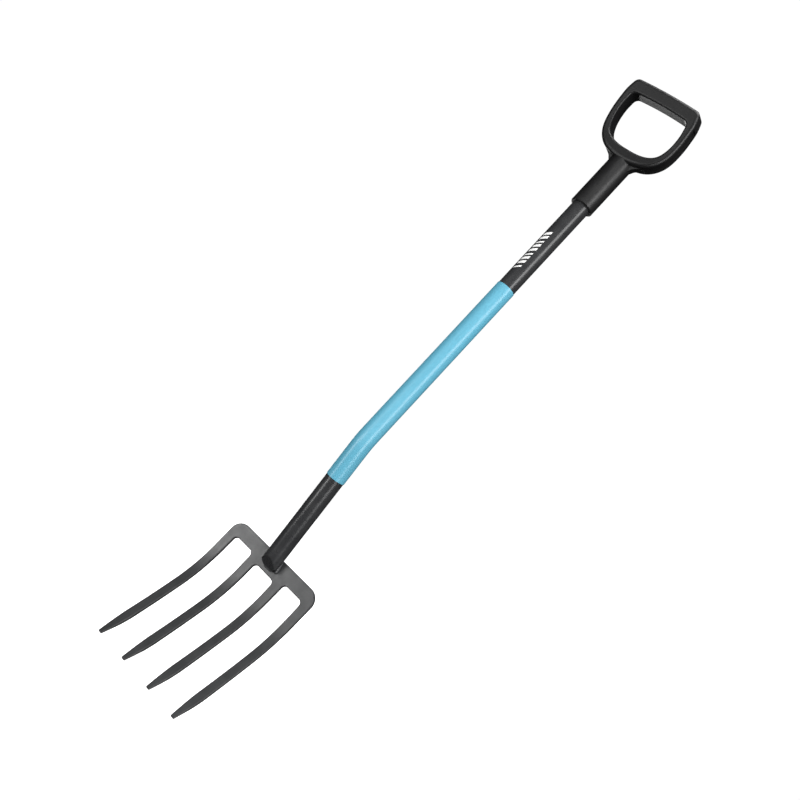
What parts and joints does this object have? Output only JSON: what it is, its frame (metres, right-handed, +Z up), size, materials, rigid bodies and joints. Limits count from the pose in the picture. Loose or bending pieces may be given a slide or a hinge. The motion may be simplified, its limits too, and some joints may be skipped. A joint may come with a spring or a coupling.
{
  "type": "digging fork",
  "caption": "Long-handled digging fork: curved flat-tined steel head welded to a bent steel tube, plastic-sleeved in the middle, with a leaning D-handle.",
  "frame": {"origin": "bottom centre of the bounding box, level with the points of the tines", "axes": "+Z up along the straight upper leg of the shaft to the handle, X across the tines with the fork symmetric about X = 0, -Y towards the hollow side of the tines and the person digging"},
  "size_m": [0.1818, 0.1164, 1.1543],
  "materials": {
    "coated_steel": "semi-gloss black powder coat, fine orange peel",
    "tube_coat": "semi-gloss black powder coat",
    "weld_coat": "powder-coated weld bead",
    "blue_sleeve": "satin light blue plastic",
    "black_plastic": "satin moulded black plastic",
    "rivet_steel": "blackened steel"
  },
  "bodies": {
    "root": {"fork_head": "coated_steel", "shaft_tube": "tube_coat", "shaft_sleeve": "blue_sleeve", "handle": "black_plastic", "handle_rivet": "rivet_steel", "weld_left": "weld_coat", "weld_right": "weld_coat", "weld_toe": "weld_coat", "weld_back": "weld_coat"}
  },
  "joints": []
}
